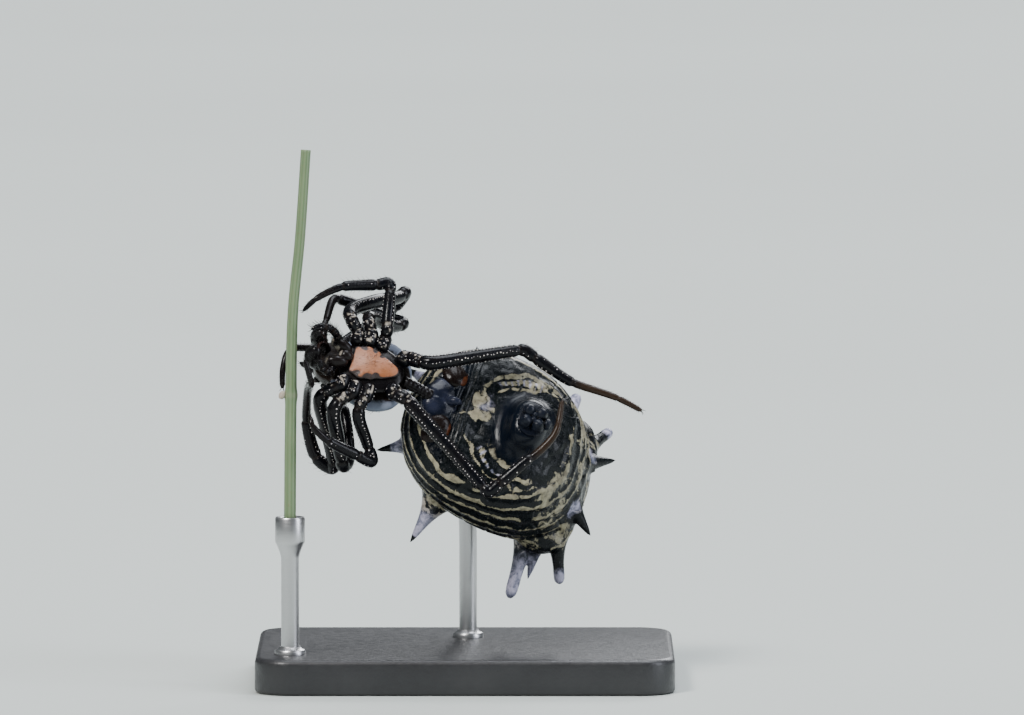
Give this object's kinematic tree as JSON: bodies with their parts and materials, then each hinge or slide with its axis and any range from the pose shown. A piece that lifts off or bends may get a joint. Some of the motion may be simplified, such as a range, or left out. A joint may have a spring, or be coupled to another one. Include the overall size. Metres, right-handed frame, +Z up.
{
  "type": "spiny orb weaver spider, life-size still model on a display stand",
  "caption": "Spined orb weaver spider gripping a cut grass stem, belly to the viewer, with a spiny ringed abdomen, on a plain base with upright rods.",
  "frame": {"origin": "middle of the underside of the stand's base", "axes": "+Z up, +X to the viewer's right, towards the spider's rear, and +Y away from the viewer, towards the spider's back"},
  "size_m": [0.014, 0.01, 0.018],
  "materials": {
    "leg_cuticle": "glossy black cuticle with fine pale dots",
    "carapace_cuticle": "glossy dark brown cuticle with a pale rim",
    "sternum_cuticle": "satin pinkish orange shield with dark notches",
    "abdomen_skin": "glossy black skin with cream rings and marbling, lilac white spines with black tips",
    "spinneret_cuticle": "glossy blue black",
    "grass_stem": "satin pale green with fine lengthwise ribs",
    "stand_base": "satin black paint",
    "stand_rod": "fine brushed steel"
  },
  "bodies": {
    "root": {"carapace": "carapace_cuticle", "sternum": "sternum_cuticle", "chelicera_left": "leg_cuticle", "chelicera_right": "leg_cuticle", "palp_left": "leg_cuticle", "palp_right": "leg_cuticle", "pedicel": "leg_cuticle", "abdomen": "abdomen_skin", "spinnerets": "spinneret_cuticle", "leg_left_1_femur": "leg_cuticle", "leg_left_1_tibia": "leg_cuticle", "leg_left_1_tarsus": "leg_cuticle", "leg_left_2_femur": "leg_cuticle", "leg_left_2_tibia": "leg_cuticle", "leg_left_2_tarsus": "leg_cuticle", "leg_left_3_femur": "leg_cuticle", "leg_left_3_tibia": "leg_cuticle", "leg_left_3_tarsus": "leg_cuticle", "leg_left_4_femur": "leg_cuticle", "leg_left_4_tibia": "leg_cuticle", "leg_left_4_tarsus": "leg_cuticle", "leg_right_1_femur": "leg_cuticle", "leg_right_1_tibia": "leg_cuticle", "leg_right_1_tarsus": "leg_cuticle", "leg_right_2_femur": "leg_cuticle", "leg_right_2_tibia": "leg_cuticle", "leg_right_2_tarsus": "leg_cuticle", "leg_right_3_femur": "leg_cuticle", "leg_right_3_tibia": "leg_cuticle", "leg_right_3_tarsus": "leg_cuticle", "leg_right_4_femur": "leg_cuticle", "leg_right_4_tibia": "leg_cuticle", "leg_right_4_tarsus": "leg_cuticle", "perch_stem": "grass_stem", "stand_base": "stand_base", "stand_rod_stem": "stand_rod", "stand_rod_body": "stand_rod"}
  },
  "joints": []
}
